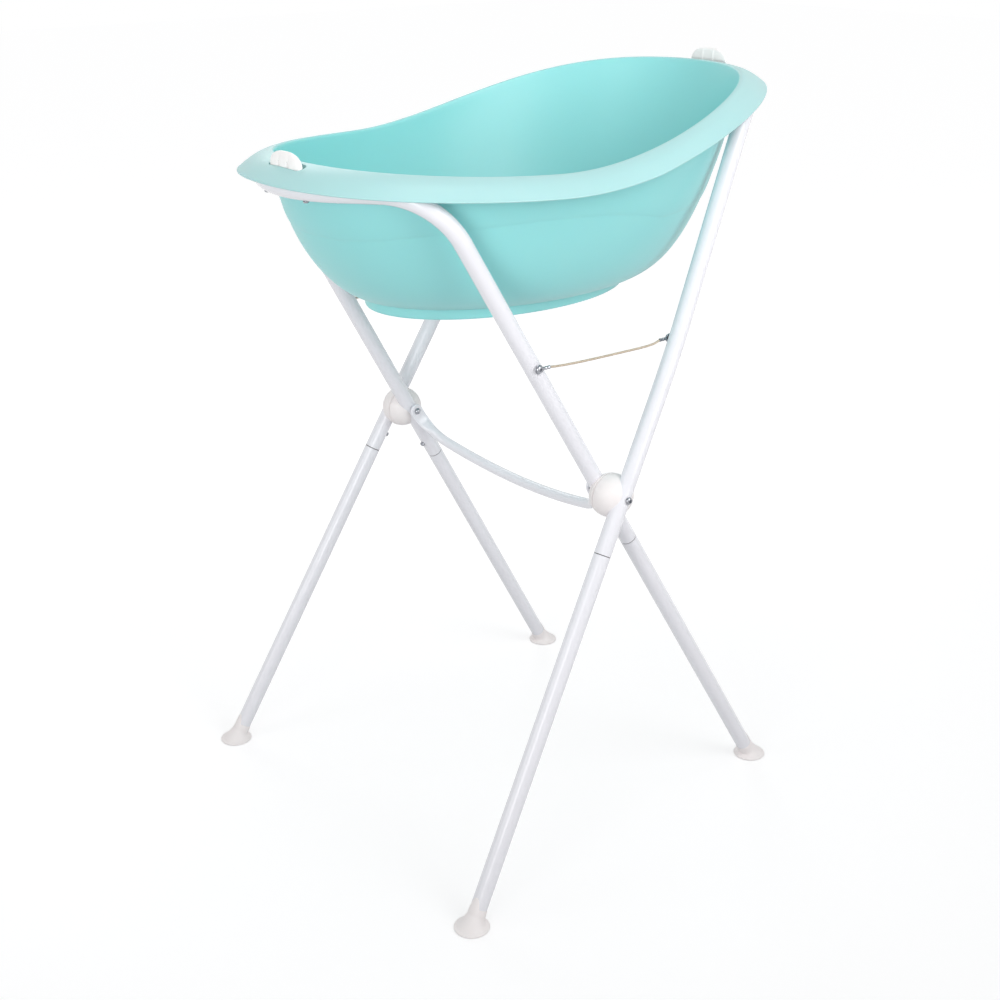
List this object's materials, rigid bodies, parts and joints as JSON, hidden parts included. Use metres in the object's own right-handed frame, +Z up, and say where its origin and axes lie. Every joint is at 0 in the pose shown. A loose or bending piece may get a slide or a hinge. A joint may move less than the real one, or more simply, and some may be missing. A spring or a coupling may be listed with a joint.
{
  "type": "baby bathtub",
  "caption": "Oval moulded baby bathtub with a raised head end, resting in the loops of a crossed tubular stand that folds about a pivot and is held open by stay cables.",
  "frame": {"origin": "on the floor, under the middle of the outer box of the whole object", "axes": "+Z up; +X from the low foot end of the tub to its raised head end; +Y to the far side of the picture"},
  "size_m": [0.7793, 0.6288, 1.0028],
  "materials": {
    "tub_plastic": "moulded mint plastic with a soft sheen",
    "frame_paint": "white powder-coated steel tube",
    "fitting_plastic": "off-white moulded plastic",
    "catch_plastic": "white moulded plastic",
    "bright_metal": "bright plated steel",
    "cable_coat": "tan plastic-coated steel cable"
  },
  "bodies": {
    "pivot_axle": {"crossbar": "frame_paint", "pivot_bolts": "bright_metal", "pivot_nuts": "bright_metal", "pivot_washers": "bright_metal"},
    "tub": {"tub_shell": "tub_plastic"},
    "foot_frame": {"foot_frame_tube": "frame_paint", "foot_frame_bosses": "fitting_plastic", "foot_frame_leg_near": "frame_paint", "foot_frame_leg_far": "frame_paint", "foot_frame_pad_near": "fitting_plastic", "foot_frame_pad_far": "fitting_plastic", "foot_catch": "catch_plastic", "foot_catch_screws": "bright_metal", "foot_frame_cable_screws": "bright_metal", "foot_frame_cable_eyes": "bright_metal", "stay_cable_near": "cable_coat", "stay_cable_far": "cable_coat"},
    "head_frame": {"head_frame_tube": "frame_paint", "head_frame_bosses": "fitting_plastic", "head_frame_leg_near": "frame_paint", "head_frame_leg_far": "frame_paint", "head_frame_pad_near": "fitting_plastic", "head_frame_pad_far": "fitting_plastic", "head_catch": "catch_plastic", "head_catch_screws": "bright_metal", "head_frame_cable_screws": "bright_metal", "head_frame_cable_eyes": "bright_metal"},
    "foot_button_near": {"foot_button_near": "bright_metal"},
    "foot_button_far": {"foot_button_far": "bright_metal"},
    "head_button_near": {"head_button_near": "bright_metal"},
    "head_button_far": {"head_button_far": "bright_metal"}
  },
  "joints": [
    {"name": "tub_lift", "type": "slide", "parent": "pivot_axle", "child": "tub", "axis": [0, 0, 1], "range_m": [0, 1]},
    {"name": "foot_frame_fold", "type": "hinge", "parent": "pivot_axle", "child": "foot_frame", "pos_m": [-0.0429, 0, 0.497], "axis": [0, 1, 0], "range_deg": [0, 25.01]},
    {"name": "head_frame_fold", "type": "hinge", "parent": "foot_frame", "child": "head_frame", "pos_m": [-0.0429, 0, 0.497], "axis": [0, 1, 0], "range_deg": [-50.02, 0], "deforming": ["stay_cable_near", "stay_cable_far"]},
    {"name": "foot_button_near_press", "type": "slide", "parent": "foot_frame", "child": "foot_button_near", "axis": [0.8542, -0.09, 0.5122], "range_m": [0, 0.003], "stiffness_N_per_m": 400, "springref_m": -0.002},
    {"name": "foot_button_far_press", "type": "slide", "parent": "foot_frame", "child": "foot_button_far", "axis": [0.8542, 0.09, 0.5122], "range_m": [0, 0.003], "stiffness_N_per_m": 400, "springref_m": -0.002},
    {"name": "head_button_near_press", "type": "slide", "parent": "head_frame", "child": "head_button_near", "axis": [-0.8561, -0.1349, 0.4989], "range_m": [0, 0.003], "stiffness_N_per_m": 400, "springref_m": -0.002},
    {"name": "head_button_far_press", "type": "slide", "parent": "head_frame", "child": "head_button_far", "axis": [-0.8561, 0.1349, 0.4989], "range_m": [0, 0.003], "stiffness_N_per_m": 400, "springref_m": -0.002}
  ],
  "couplings": [
    {"joint": "foot_frame_fold", "follows": "tub_lift", "rad_per_m": 0.43633},
    {"joint": "head_frame_fold", "follows": "tub_lift", "rad_per_m": -0.87266}
  ]
}
